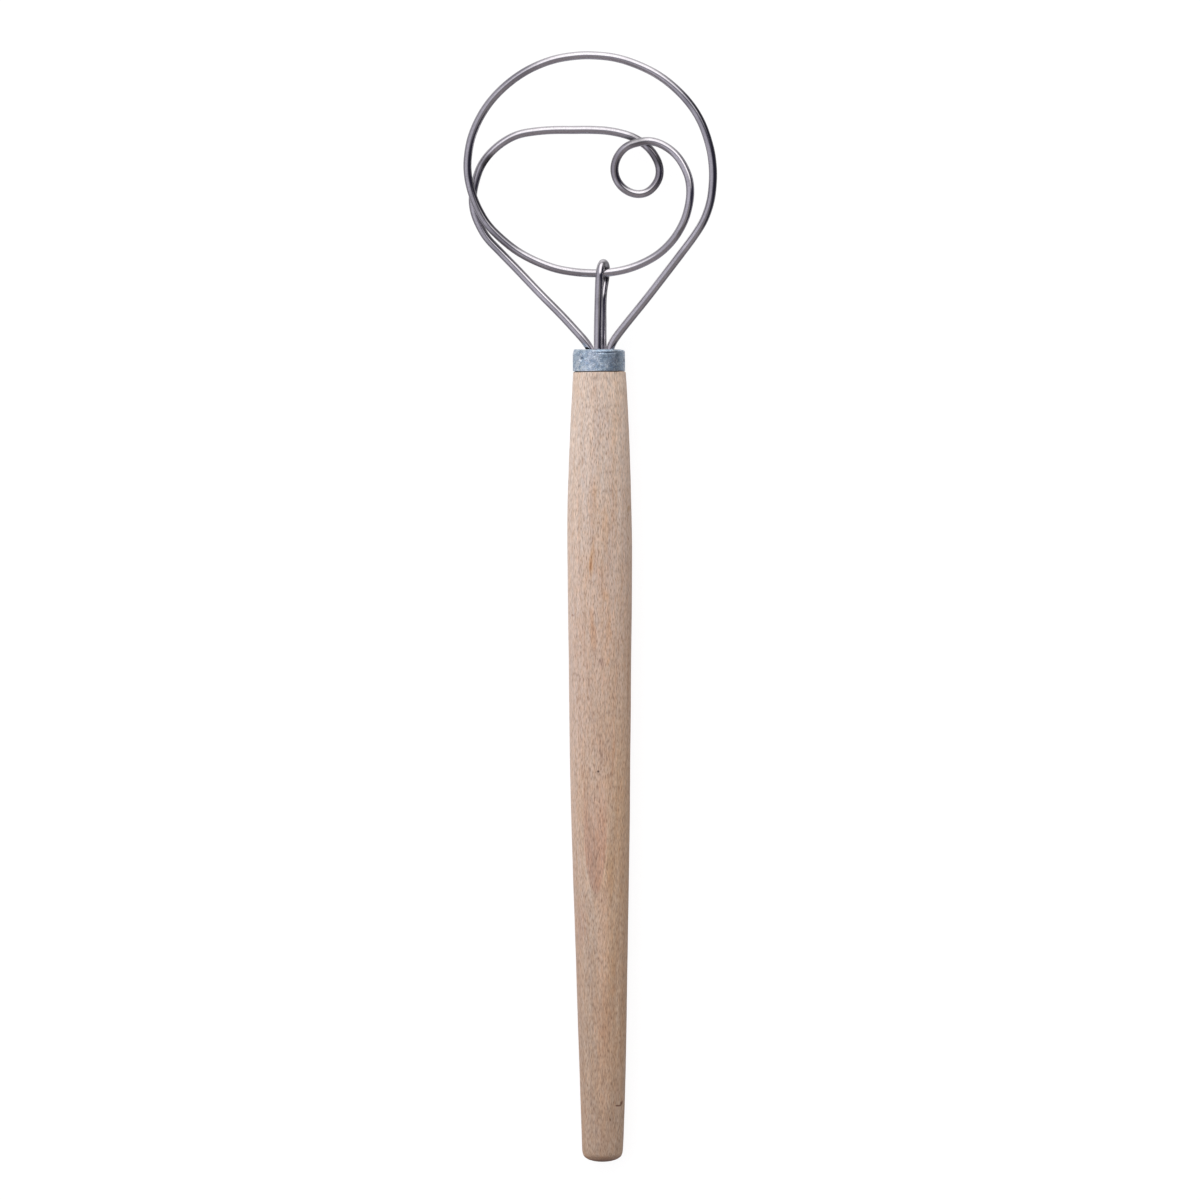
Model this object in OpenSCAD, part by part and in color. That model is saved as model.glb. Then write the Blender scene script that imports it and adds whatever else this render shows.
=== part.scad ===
// Dough whisk: a flat head bent from one long steel wire, tied at the bottom of
// its inner ring by a second wire bent into a hook, both set in a turned beech
// handle under a steel ferrule.
// The whisk lies flat: the handle runs along Y with the head at +Y, and Z is up.

/* [Wire] */
// Diameter of both wires
wire_d = 2.8; // [2.6:0.1:2.9]
// Height between the two layers where the long wire crosses itself
layer_gap = 3; // [3:0.1:3.4]
// Sides of the wire's cross-section
wire_sides = 12; // [8:2:12]

/* [Handle] */
// Diameter of the handle at its thickest place
belly_d = 22.2; // [22:0.1:24]
// Length of the straight cylindrical stretch at the thickest place
belly_len = 18; // [12:1:20]
// Length of the wood, from the ferrule's lower edge to the butt
wood_len = 271.2; // [265:0.1:300]
// Diameter of the bore that takes the four wire ends
bore_d = 11.2; // [11:0.1:11.8]
// Depth of that bore below the top of the ferrule
bore_depth = 46.3; // [46:0.1:60]

/* [Ferrule] */
// Outer diameter of the ferrule
ferrule_d = 17.9; // [17.6:0.1:19]
// Height of the ferrule
ferrule_h = 7.4; // [6:0.1:10]
// Thickness of the ferrule's sheet
sheet_t = 0.6; // [0.5:0.1:0.8]
// Depth of the three punched dimples that lock the ferrule to the wood
dimple_depth = 0.5; // [0.3:0.05:0.6]

/* [Hidden] */
wr = wire_d / 2;
up = layer_gap / 2;
// middle of the whole outline, and the height of the handle's axis above the table
origin_shift = [2.8, 88.1, belly_d / 2];
leg_end = -44;
hole_r = bore_d / 2 + 0.4;
// the ferrule's top, on the scale that the wires' routes use
rim_y = 0;
// height of the adhesive in the bore, below the ferrule's top
fill_top = -5.6;
wood_r = ferrule_d / 2 - sheet_t;

// Route of the long wire, from its right end in the bore to its left end.
// Y is 0 just above the ferrule's top, and Z is 0 in the middle of the head.
whisk_route = [
  [3.6, leg_end, 0.6], [3.6, -22, 0.6], [3.6, -5, 0.6], [3.6, -2, 0.5],
  [3.8, 0.4, 0.4], [5.3, 3.4, 0.4], [8.9, 8.2, 0.5], [15.8, 16.7, 0.7], [22.3, 25, 1], [28.7, 33.3, 1.2],
  [32.8, 38.8, 1.3], [36.1, 44.1, 1.4], [38.4, 50.6, up], [39.3, 57.8, up], [39.2, 63.4, up], [38.3, 69.2, up],
  [35.7, 77.1, up], [31.9, 83.6, up], [26.4, 89.6, up], [20.2, 94.3, up], [12.8, 97.9, up],
  [6, 100, up], [-0.5, 100.8, up], [-6.8, 100.8, up], [-15, 99.5, up], [-22.9, 96.5, up],
  [-29.7, 92.2, up], [-35.8, 86.5, up], [-40.3, 80.1, up], [-43.5, 72.6, up], [-44.8, 64.9, up],
  [-44.6, 59.4, up], [-43.4, 54, up], [-41.4, 48.8, up], [-38.2, 43.3, up], [-33.9, 38.7, 1.4],
  [-28.1, 34, 1.2], [-22, 30.6, 1], [-15, 27.9, 0.8], [-8.9, 26.7, 0.6], [-2.7, 26.2, 0.6],
  [3.4, 26.4, 0.6], [9.8, 27.6, 0.7], [16, 30, 0.9], [21.2, 33.2, 1.1], [25.9, 38, 1.6],
  [29.5, 44.3, 2.3], [31.3, 51.2, 2.9], [31.3, 57.1, 2.5], [29.8, 61.8, 2], [26.8, 66.5, 1.6],
  [22.4, 69.9, up], [17.8, 71.4, up], [14.2, 71, up], [9.9, 69.6, up], [6.9, 66.5, 1.3],
  [5.6, 62.7, 0.9], [6, 59.1, 0.4], [7.7, 56.2, 0], [10.1, 54.3, -0.3], [13.2, 53.3, -0.6],
  [16.7, 53.9, -1], [19.3, 56.2, -1.2], [20.9, 59.3, -1.4], [20.9, 62.8, -up], [19.5, 66.2, -up],
  [17.1, 69.3, -up], [13.6, 71.9, -up], [9.8, 73.6, -up], [3.5, 75, -up], [-2.7, 75.4, -up],
  [-9, 75.4, -up], [-15.2, 75.4, -up], [-21, 75, -up], [-27.3, 73.9, -up], [-32.3, 71.5, -up],
  [-36.9, 67.7, -up], [-40.1, 63.4, -up], [-42, 58.4, -up], [-43, 53.5, -up], [-43, 49.8, -up],
  [-42, 45.5, -up], [-38.7, 39.1, -1.4], [-33.6, 33.5, -1.3], [-28.3, 28, -1.2], [-20.5, 19.7, -1],
  [-12.5, 11.5, -0.8], [-7.6, 6.1, -0.6], [-5, 3.1, -0.5], [-3.2, 0.4, -0.6],
  [-2.4, -2, -0.8], [-2.2, -5, -0.9], [-2.2, -22, -0.9], [-2.2, leg_end, -0.9]
];

// Route of the hook wire: up in front of the ring, over it and down behind it.
hook_route = [
  [-0.4, leg_end, 1.5], [-0.4, -22, 1.5], [-0.4, -5, 1.5],
  [-0.4, 2, 1.6], [-0.3, 9, 2], [-0.1, 16, 2.8], [0.1, 22, 3.6], [0.35, 26.1, 3.7], [0.8, 28.4, 2.7],
  [1.6, 29.5, 0.6], [2.4, 28.5, -1.7], [2.4, 26.1, -2.5], [2.1, 23.6, -2.4], [1.6, 20.6, -1.9], [1.4, 17.5, -1.4], [1.2, 13, -1.3], [1.2, 9, -1.4],
  [1.2, 2, -1.5], [1.5, -5, -1.5], [1.5, -22, -1.5], [1.5, leg_end, -1.5]
];

// Radius of the wood at each distance below the ferrule's top.
wood_shape = [
  [11, 9.25], [17.5, 9.6], [24.5, 9.9], [31, 10.2], [38, 10.4], [45, 10.7], [52, 10.9]
];
wood_tail = [
  [88, 10.9], [100, 10.8], [120, 10.6], [134, 10.4], [148, 10.2], [162, 10], [175, 9.7], [189, 9.4], [203, 9],
  [216, 8.7], [230, 8.4], [244, 8], [258, 7.6], [271, 7.1]
];
belly_mid = 67.3;
wood_end = ferrule_h + wood_len;

// Points on a smooth curve through a route
function at(p, i) = p[max(0, min(len(p) - 1, i))];
function tangent_at(p, i) = (at(p, i + 1) - at(p, i - 1)) / (norm(at(p, i + 1) - at(p, i)) + norm(at(p, i) - at(p, i - 1)));
function bez(p, i, t) =
  let (a = p[i], b = p[i + 1], l = norm(b - a), ta = tangent_at(p, i) * l, tb = tangent_at(p, i + 1) * l)
  a * (2*t*t*t - 3*t*t + 1) + ta * (t*t*t - 2*t*t + t) + b * (-2*t*t*t + 3*t*t) + tb * (t*t*t - t*t);
// steps per span: one on the long straight stretches in the bore
function steps(p, i, step) = (abs(p[i + 1][0] - p[i][0]) < 0.01 && norm(p[i + 1] - p[i]) > 15) ? 1 : max(1, round(norm(p[i + 1] - p[i]) / step));
function smooth(p, step) = concat(
  [for (i = [0 : len(p) - 2]) let (n = steps(p, i, step)) for (k = [0 : n - 1]) n == 1 ? p[i] : bez(p, i, k / n)],
  [p[len(p) - 1]]);
function unit(v) = v / norm(v);
function path_dir(q, i) = i == 0 ? unit(q[1] - q[0]) : i == len(q) - 1 ? unit(q[i] - q[i - 1]) :
  unit(unit(q[i + 1] - q[i]) + unit(q[i] - q[i - 1]));

// A round wire along a route. side is a direction that the route never runs along.
module wire_along(route, step, side) {
  q = smooth(route, step);
  n = wire_sides;
  rings = [for (i = [0 : len(q) - 1])
    let (d = path_dir(q, i), u = unit(cross(d, side)), v = cross(d, u))
    for (k = [0 : n - 1]) q[i] + wr * (cos(360 * k / n) * u + sin(360 * k / n) * v)];
  last = (len(q) - 1) * n;
  polyhedron(
    points = rings,
    faces = concat(
      [[for (k = [0 : n - 1]) k]],
      [for (i = [0 : len(q) - 2]) for (k = [0 : n - 1])
        [i * n + k, (i + 1) * n + k, (i + 1) * n + (k + 1) % n, i * n + (k + 1) % n]],
      [[for (k = [n - 1 : -1 : 0]) last + k]]
    ), convexity = 10);
}

// A shape turned about Z stands with its head end up: this lays it along Y.
module along_handle() { translate(origin_shift + [0, rim_y, 0]) rotate([90, 0, 180]) children(); }

// Three punched dimples round the ferrule, none quite level with the next: [angle, distance below the top]
module dimples(depth, r) {
  for (a = [[48, 3.6], [165, 3.8], [286, 3.6]])
    rotate([0, 0, a[0]]) translate([ferrule_d / 2 + r - depth, 0, -a[1]]) sphere(r = r, $fn = 32);
}

module handle() {
  color("#c9a98c") along_handle() difference() {
    rotate_extrude($fn = 96) polygon(concat(
      [[0, -1], [wood_r - 0.7, -1], [wood_r - 0.1, -1.6], [wood_r - 0.1, -ferrule_h - 0.05]],
      [[wood_r + 0.2, -ferrule_h - 0.05], [ferrule_d / 2 + 0.1, -ferrule_h - 0.5]],
      [for (p = wood_shape) [p[1], -p[0]]],
      [[belly_d / 2, -(belly_mid - belly_len / 2)], [belly_d / 2, -(belly_mid + belly_len / 2)]],
      [for (p = wood_tail) [p[1], -p[0]]],
      [[7, -wood_end + 4], [6.7, -wood_end + 2.5], [5.9, -wood_end + 1.5], [4.8, -wood_end + 0.8], [3.2, -wood_end + 0.3], [0, -wood_end]]
    ));
    translate([0, 0, -bore_depth]) cylinder(h = bore_depth + 1, d = bore_d, $fn = 64);
    dimples(dimple_depth, 1.4);
  }
}

module ferrule() {
  color("#9aa7b4") along_handle() difference() {
    union() {
      difference() {
        rotate_extrude($fn = 96) polygon(concat(
          [[0, -ferrule_h]], [[ferrule_d / 2 - 0.15, -ferrule_h], [ferrule_d / 2, -ferrule_h + 0.15]],
          [for (a = [0 : 15 : 90]) [ferrule_d / 2 - 0.8 + 0.8 * cos(a), -0.8 + 0.8 * sin(a)]], [[0, 0]]));
        translate([0, 0, -ferrule_h - 1]) cylinder(h = ferrule_h + 1 - sheet_t, r = wood_r, $fn = 96);
        translate([0, 0, -2]) cylinder(h = 3, r = hole_r, $fn = 64);
      }
    }
    dimples(dimple_depth - 0.1, 1.8);
  }
}

module adhesive_plug() {
  color("#b9a06a") difference() {
    along_handle() translate([0, 0, -bore_depth]) cylinder(h = bore_depth + fill_top, d = bore_d, $fn = 64);
    for (p = [[3.6, 0.6], [-2.2, -0.9], [-0.4, 1.5], [1.5, -1.5]])
      translate(origin_shift + [p[0], leg_end, p[1]]) rotate([-90, 0, 0]) cylinder(h = -leg_end + 2, r = wr, $fn = 48);
  }
}

module whisk_wire() {
  color("#b4b2b8") translate(origin_shift) wire_along(whisk_route, 3.4, [0, 0, 1]);
}

module hook_wire() {
  color("#b4b2b8") translate(origin_shift) wire_along(hook_route, 1.2, [1, 0, 0]);
}

handle();
ferrule();
adhesive_plug();
whisk_wire();
hook_wire();
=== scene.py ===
import bpy, bmesh, math
from mathutils import Vector, Matrix, noise


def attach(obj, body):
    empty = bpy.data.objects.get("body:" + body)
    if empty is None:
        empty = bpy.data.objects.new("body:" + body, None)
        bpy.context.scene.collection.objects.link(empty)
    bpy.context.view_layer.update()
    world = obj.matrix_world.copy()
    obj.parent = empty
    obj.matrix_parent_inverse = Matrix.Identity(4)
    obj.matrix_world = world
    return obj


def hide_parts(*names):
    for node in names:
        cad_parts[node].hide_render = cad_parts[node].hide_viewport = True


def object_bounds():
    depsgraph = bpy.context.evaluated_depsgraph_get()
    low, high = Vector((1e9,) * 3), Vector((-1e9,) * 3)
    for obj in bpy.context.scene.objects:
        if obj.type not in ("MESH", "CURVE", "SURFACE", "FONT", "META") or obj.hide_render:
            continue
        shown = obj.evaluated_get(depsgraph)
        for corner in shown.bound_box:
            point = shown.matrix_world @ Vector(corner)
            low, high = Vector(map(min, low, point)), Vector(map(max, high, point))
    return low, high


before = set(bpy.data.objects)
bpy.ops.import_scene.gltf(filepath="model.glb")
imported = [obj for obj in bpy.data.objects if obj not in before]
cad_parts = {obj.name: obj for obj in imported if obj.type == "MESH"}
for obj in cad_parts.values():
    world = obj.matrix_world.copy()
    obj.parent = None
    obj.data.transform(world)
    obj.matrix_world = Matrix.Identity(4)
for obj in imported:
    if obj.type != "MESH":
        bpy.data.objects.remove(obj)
cad_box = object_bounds()
cad_box = [list(cad_box[0]), list(cad_box[1])]

# All design lengths are in millimetres; Y is 0 just above the ferrule's top and
# the handle's axis is X = 0, Z = 0.  place() puts them in the row frame.
SHIFT = (2.8, 88.1, 11.1)


def place(p):
    return Vector(((p[0] + SHIFT[0]) / 1000, (p[1] + SHIFT[1]) / 1000, (p[2] + SHIFT[2]) / 1000))


WIRE_R = 1.4
LEG_END = -43.9
UP = 1.5
RIM_Y = -0.3  # the ferrule's top
RING_PHASE = 0.12
# what the shiny parts reflect: linear colours of the room round the object
PALE_SIDE = (0.55, 0.533, 0.60)
DARK_SIDE = (0.031, 0.029, 0.05)
GREY_PATCH = (0.275, 0.256, 0.258)
NEAR_SIDE = (0.29, 0.26, 0.28)
LOW_NEAR = (0.39, 0.378, 0.41)
LOW_FAR = (0.70, 0.69, 0.705)
LOW_RIGHT = (0.19, 0.188, 0.193)
SOFTBOX = (1.56, 1.52, 1.54)
HORIZON = (0.01, 0.01, 0.01)
KEY_W = 26
TOP_W = 24
# the beech's tone along the handle, by the row's y in millimetres: paler and cooler towards the ferrule; partly the
# wood's own tone, partly painted light that falls off towards the butt
TONE_AND_PAINTED_FALLOFF = [(-190, (0.59, 0.54, 0.465)), (-75, (0.77, 0.72, 0.63)), (-15, (0.815, 0.78, 0.725)), (19, (0.87, 0.88, 0.86)), (80, (0.95, 0.99, 0.975))]

WHISK = [
    (3.6, LEG_END, 0.6), (3.6, -22, 0.6), (3.6, -5, 0.6), (3.6, -2, 0.5),
    (3.8, 0.4, 0.4), (5.3, 3.4, 0.4), (8.9, 8.2, 0.5), (15.8, 16.7, 0.7), (22.3, 25, 1), (28.7, 33.3, 1.2),
    (32.8, 38.8, 1.3), (36.1, 44.1, 1.4), (38.4, 50.6, UP), (39.3, 57.8, UP), (39.2, 63.4, UP), (38.3, 69.2, UP),
    (35.7, 77.1, UP), (31.9, 83.6, UP), (26.4, 89.6, UP), (20.2, 94.3, UP), (12.8, 97.9, UP),
    (6, 100, UP), (-0.5, 100.8, UP), (-6.8, 100.8, UP), (-15, 99.5, UP), (-22.9, 96.5, UP),
    (-29.7, 92.2, UP), (-35.8, 86.5, UP), (-40.3, 80.1, UP), (-43.5, 72.6, UP), (-44.8, 64.9, UP),
    (-44.6, 59.4, UP), (-43.4, 54, UP), (-41.4, 48.8, UP), (-38.2, 43.3, UP), (-33.9, 38.7, 1.4),
    (-28.1, 34, 1.2), (-22, 30.6, 1), (-15, 27.9, 0.8), (-8.9, 26.7, 0.6), (-2.7, 26.2, 0.6),
    (3.4, 26.4, 0.6), (9.8, 27.6, 0.7), (16, 30, 0.9), (21.2, 33.2, 1.1), (25.9, 38, 1.6),
    (29.5, 44.3, 2.3), (31.3, 51.2, 2.9), (31.3, 57.1, 2.5), (29.8, 61.8, 2), (26.8, 66.5, 1.6),
    (22.4, 69.9, UP), (17.8, 71.4, UP), (14.2, 71, UP), (9.9, 69.6, UP), (6.9, 66.5, 1.3),
    (5.6, 62.7, 0.9), (6, 59.1, 0.4), (7.7, 56.2, 0), (10.1, 54.3, -0.3), (13.2, 53.3, -0.6),
    (16.7, 53.9, -1), (19.3, 56.2, -1.2), (20.9, 59.3, -1.4), (20.9, 62.8, -UP), (19.5, 66.2, -UP),
    (17.1, 69.3, -UP), (13.6, 71.9, -UP), (9.8, 73.6, -UP), (3.5, 75, -UP), (-2.7, 75.4, -UP),
    (-9, 75.4, -UP), (-15.2, 75.4, -UP), (-21, 75, -UP), (-27.3, 73.9, -UP), (-32.3, 71.5, -UP),
    (-36.9, 67.7, -UP), (-40.1, 63.4, -UP), (-42, 58.4, -UP), (-43, 53.5, -UP), (-43, 49.8, -UP),
    (-42, 45.5, -UP), (-38.7, 39.1, -1.4), (-33.6, 33.5, -1.3), (-28.3, 28, -1.2), (-20.5, 19.7, -1),
    (-12.5, 11.5, -0.8), (-7.6, 6.1, -0.6), (-5, 3.1, -0.5), (-3.2, 0.4, -0.6),
    (-2.4, -2, -0.8), (-2.2, -5, -0.9), (-2.2, -22, -0.9), (-2.2, LEG_END, -0.9),
]
HOOK = [
    (-0.4, LEG_END, 1.5), (-0.4, -22, 1.5), (-0.4, -5, 1.5),
    (-0.4, 2, 1.6), (-0.3, 9, 2), (-0.1, 16, 2.8), (0.1, 22, 3.6), (0.35, 26.1, 3.7), (0.8, 28.4, 2.7),
    (1.6, 29.7, 0.6), (2.4, 28.6, -1.7), (2.4, 26.1, -2.5), (2.1, 23.6, -2.4), (1.6, 20.6, -1.9), (1.32, 17.5, -1.4), (1.2, 13, -1.3), (1.2, 9, -1.4),
    (1.2, 2, -1.5), (1.5, -5, -1.5), (1.5, -22, -1.5), (1.5, LEG_END, -1.5),
]


def hermite(points, step):
    pts = [Vector(p) for p in points]
    n = len(pts)

    def tan(i):
        a, b, c = pts[max(i - 1, 0)], pts[i], pts[min(i + 1, n - 1)]
        return (c - a) / ((c - b).length + (b - a).length)
    out = []
    for i in range(n - 1):
        a, b = pts[i], pts[i + 1]
        l = (b - a).length
        ta, tb = tan(i) * l, tan(i + 1) * l
        k = max(2, round(l / step))
        for j in range(k):
            t = j / k
            out.append(a * (2 * t**3 - 3 * t**2 + 1) + ta * (t**3 - 2 * t**2 + t) + b * (-2 * t**3 + 3 * t**2) + tb * (t**3 - t**2))
    out.append(pts[-1])
    return out


def even(path, step):
    """The path again, in equal steps."""
    d = [0.0]
    for a, b in zip(path, path[1:]):
        d.append(d[-1] + (b - a).length)
    n = round(d[-1] / step)
    out, j = [], 0
    for i in range(n + 1):
        s = d[-1] * i / n
        while j < len(d) - 2 and d[j + 1] < s:
            j += 1
        f = (s - d[j]) / max(1e-9, d[j + 1] - d[j])
        out.append(path[j].lerp(path[j + 1], min(1, max(0, f))))
    return out


def soften(path, sigma, step):
    w = int(3 * sigma / step)
    ker = [math.exp(-0.5 * (k * step / sigma) ** 2) for k in range(-w, w + 1)]
    out = []
    for i in range(len(path)):
        h = min(w, i, len(path) - 1 - i)
        acc, tot = Vector((0, 0, 0)), 0.0
        for k in range(-h, h + 1):
            acc += path[i + k] * ker[k + w]
            tot += ker[k + w]
        out.append(acc / tot)
    return out


def mesh_object(name, verts, faces, uvs=None, smooth=True):
    me = bpy.data.meshes.new(name)
    me.from_pydata([tuple(v) for v in verts], [], faces)
    if uvs is not None:
        layer = me.uv_layers.new(name="UVMap")
        for li, uv in enumerate(uvs):
            layer.data[li].uv = uv
    me.validate()
    me.update()
    bm = bmesh.new()
    bm.from_mesh(me)
    bmesh.ops.recalc_face_normals(bm, faces=bm.faces[:])
    bm.to_mesh(me)
    bm.free()
    for p in me.polygons:
        p.use_smooth = smooth
    ob = bpy.data.objects.new(name, me)
    bpy.context.scene.collection.objects.link(ob)
    return ob


def sweep(name, route, sigma, ref, step=0.5, sides=28):
    path = even(hermite(route, 0.4), step)
    # evens out the bends, and puts back what that takes off the tightest ones
    calm = soften(path, sigma, step)
    path = [a + b for a, b in zip(calm, soften([p - a for p, a in zip(path, calm)], sigma, step))]
    n = len(path)
    tans = [(path[min(i + 1, n - 1)] - path[max(i - 1, 0)]).normalized() for i in range(n)]
    verts, faces, uvs = [], [], []
    for i in range(n):
        u = tans[i].cross(Vector(ref)).normalized()
        v = tans[i].cross(u)
        # drawn wire keeps its size within a few hundredths of a millimetre
        r = WIRE_R * (1 + 0.006 * noise.noise(Vector((i * step * 0.11, 3.1, 0.7))))
        for k in range(sides):
            a = 2 * math.pi * k / sides
            verts.append(place(path[i] + r * (math.cos(a) * u + math.sin(a) * v)))
    circ = 2 * math.pi * WIRE_R
    for i in range(n - 1):
        for k in range(sides):
            k2 = (k + 1) % sides
            faces.append((i * sides + k, (i + 1) * sides + k, (i + 1) * sides + k2, i * sides + k2))
            u0, u1 = k / sides * circ, (k + 1) / sides * circ
            uvs += [(u0, i * step), (u0, (i + 1) * step), (u1, (i + 1) * step), (u1, i * step)]
    # cut ends, deep in the bore
    for base, end in ((0, path[0]), ((n - 1) * sides, path[-1])):
        c = len(verts)
        verts.append(place(end))
        for k in range(sides):
            k2 = (k + 1) % sides
            faces.append((base + k, base + k2, c))
            uvs += [(0, 0), (1, 0), (0.5, 0.5)]
    return mesh_object(name, verts, faces, uvs)


def spline_profile(points, step=0.8):
    """A smooth (radius, y) profile."""
    return [(p.x, p.y) for p in hermite([(r, y, 0) for r, y in points], step)]


def revolve(name, profile, sides, bend=None):
    """Turns an open or closed (radius, y) profile round Y, measured from the
    ferrule's top. Radius 0 ends become points."""
    verts, faces, uvs = [], [], []
    ring = []
    s = [0.0]
    for a, b in zip(profile, profile[1:]):
        s.append(s[-1] + math.dist(a, b))
    for r, y in profile:
        if r < 1e-6:
            ring.append([len(verts)] * sides)
            verts.append((0.0, y, 0.0))
        else:
            ids = []
            for k in range(sides):
                a = 2 * math.pi * k / sides
                ids.append(len(verts))
                verts.append((r * math.cos(a), y, r * math.sin(a)))
            ring.append(ids)
    if bend:
        verts = [bend(Vector(v)) for v in verts]
    verts = [place((v[0], v[1] + RIM_Y, v[2])) for v in verts]
    for j in range(len(profile) - 1):
        for k in range(sides):
            k2 = (k + 1) % sides
            a, b, c, d = ring[j][k], ring[j + 1][k], ring[j + 1][k2], ring[j][k2]
            f = []
            for q in (a, b, c, d):
                if q not in f:
                    f.append(q)
            faces.append(tuple(f))
            full = [(k / sides * 60, s[j]), (k / sides * 60, s[j + 1]), ((k + 1) / sides * 60, s[j + 1]), ((k + 1) / sides * 60, s[j])]
            used = []
            for q, t in zip((a, b, c, d), full):
                if q not in used:
                    used.append(q)
                    uvs.append(t)
    return mesh_object(name, verts, faces, uvs)


# ---------------------------------------------------------------- node helpers
def new_material(name):
    m = bpy.data.materials.new(name)
    m.use_nodes = True
    nt = m.node_tree
    nt.nodes.clear()
    out = nt.nodes.new("ShaderNodeOutputMaterial")
    bsdf = nt.nodes.new("ShaderNodeBsdfPrincipled")
    nt.links.new(bsdf.outputs[0], out.inputs[0])
    return m, nt, bsdf


def coords(nt, scale, kind="Object", rot=(0, 0, 0), loc=(0, 0, 0)):
    tc = nt.nodes.new("ShaderNodeTexCoord")
    mp = nt.nodes.new("ShaderNodeMapping")
    mp.inputs["Scale"].default_value = scale
    mp.inputs["Rotation"].default_value = rot
    mp.inputs["Location"].default_value = loc
    nt.links.new(tc.outputs[kind], mp.inputs["Vector"])
    return mp.outputs["Vector"]


def noise_tex(nt, vec, scale=1.0, detail=3.0, rough=0.5, dist=0.0):
    n = nt.nodes.new("ShaderNodeTexNoise")
    n.inputs["Scale"].default_value = scale
    n.inputs["Detail"].default_value = detail
    n.inputs["Roughness"].default_value = rough
    n.inputs["Distortion"].default_value = dist
    nt.links.new(vec, n.inputs["Vector"])
    return n.outputs["Fac"]


def ramp(nt, fac, stops, interp="LINEAR"):
    r = nt.nodes.new("ShaderNodeValToRGB")
    r.color_ramp.interpolation = interp
    el = r.color_ramp.elements
    while len(el) > 1:
        el.remove(el[-1])
    el[0].position = stops[0][0]
    el[0].color = tuple(stops[0][1]) + (1,) if len(stops[0][1]) == 3 else stops[0][1]
    for pos, col in stops[1:]:
        e = el.new(pos)
        e.color = tuple(col) + (1,) if len(col) == 3 else col
    nt.links.new(fac, r.inputs["Fac"])
    return r.outputs["Color"]


def g(v):
    return (v, v, v)


def srgb(r, gg, b):
    def f(c):
        c /= 255
        return c / 12.92 if c <= 0.04045 else ((c + 0.055) / 1.055) ** 2.4
    return (f(r), f(gg), f(b))


def math_node(nt, op, a, b=None, clamp=False):
    n = nt.nodes.new("ShaderNodeMath")
    n.operation = op
    n.use_clamp = clamp
    for i, v in enumerate((a, b)):
        if v is None:
            continue
        if isinstance(v, (int, float)):
            n.inputs[i].default_value = v
        else:
            nt.links.new(v, n.inputs[i])
    return n.outputs[0]


def mix(nt, fac, a, b, mode="MIX"):
    n = nt.nodes.new("ShaderNodeMix")
    n.data_type = "RGBA"
    n.blend_type = mode
    for sock, v in (("Factor", fac), ("A", a), ("B", b)):
        s = [i for i in n.inputs if i.name == sock and i.enabled][0]
        if isinstance(v, (int, float)):
            s.default_value = v
        elif isinstance(v, tuple):
            s.default_value = v + (1,) if len(v) == 3 else v
        else:
            nt.links.new(v, s)
    return [o for o in n.outputs if o.enabled][0]


def bump(nt, height, strength, distance, normal=None):
    b = nt.nodes.new("ShaderNodeBump")
    b.inputs["Strength"].default_value = strength
    b.inputs["Distance"].default_value = distance
    nt.links.new(height, b.inputs["Height"])
    if normal is not None:
        nt.links.new(normal, b.inputs["Normal"])
    return b.outputs["Normal"]


def separate(nt, vec):
    s = nt.nodes.new("ShaderNodeSeparateXYZ")
    nt.links.new(vec, s.inputs[0])
    return s.outputs


# ---------------------------------------------------------------- materials
def smooth_step(nt, value, lo, hi):
    """0 at lo and 1 at hi, either way round."""
    n = nt.nodes.new("ShaderNodeMapRange")
    n.interpolation_type = "SMOOTHSTEP"
    n.inputs["From Min"].default_value = min(lo, hi)
    n.inputs["From Max"].default_value = max(lo, hi)
    n.inputs["To Min"].default_value = 0.0 if lo < hi else 1.0
    n.inputs["To Max"].default_value = 1.0 if lo < hi else 0.0
    nt.links.new(value, n.inputs["Value"])
    return n.outputs[0]


def warped(nt, vec, scale, amount):
    """The coordinates vec, pushed about by a noise of the given scale."""
    n = nt.nodes.new("ShaderNodeTexNoise")
    n.inputs["Scale"].default_value = 1.0
    n.inputs["Detail"].default_value = 3
    mp = nt.nodes.new("ShaderNodeMapping")
    mp.inputs["Scale"].default_value = scale
    nt.links.new(vec, mp.inputs["Vector"])
    nt.links.new(mp.outputs[0], n.inputs["Vector"])
    sub = nt.nodes.new("ShaderNodeVectorMath")
    sub.operation = "SUBTRACT"
    sub.inputs[1].default_value = (0.5, 0.5, 0.5)
    nt.links.new(n.outputs["Color"], sub.inputs[0])
    add = nt.nodes.new("ShaderNodeVectorMath")
    add.operation = "MULTIPLY_ADD"
    add.inputs[1].default_value = amount
    nt.links.new(sub.outputs[0], add.inputs[0])
    nt.links.new(vec, add.inputs[2])
    return add.outputs[0]


def blob(nt, vec, centre, half, lean=0.0, inner=0.25, outer=1.0):
    """1 inside an ellipse and 0 outside it, in design millimetres seen from
    above, or an ellipsoid where centre and half have a height too. lean is how
    far it moves to +X for each millimetre along +Y."""
    high, tall = (centre[2] + SHIFT[2], half[2]) if len(centre) > 2 else (0, 100000)
    mp = nt.nodes.new("ShaderNodeMapping")
    mp.vector_type = "TEXTURE"
    mp.inputs["Location"].default_value = (centre[0] + SHIFT[0], centre[1] + SHIFT[1], high)
    mp.inputs["Rotation"].default_value = (0, 0, -math.atan(lean))
    mp.inputs["Scale"].default_value = (half[0], half[1], tall)
    nt.links.new(vec, mp.inputs["Vector"])
    ln = nt.nodes.new("ShaderNodeVectorMath")
    ln.operation = "LENGTH"
    nt.links.new(mp.outputs[0], ln.inputs[0])
    return smooth_step(nt, ln.outputs["Value"], outer, inner)
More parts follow.
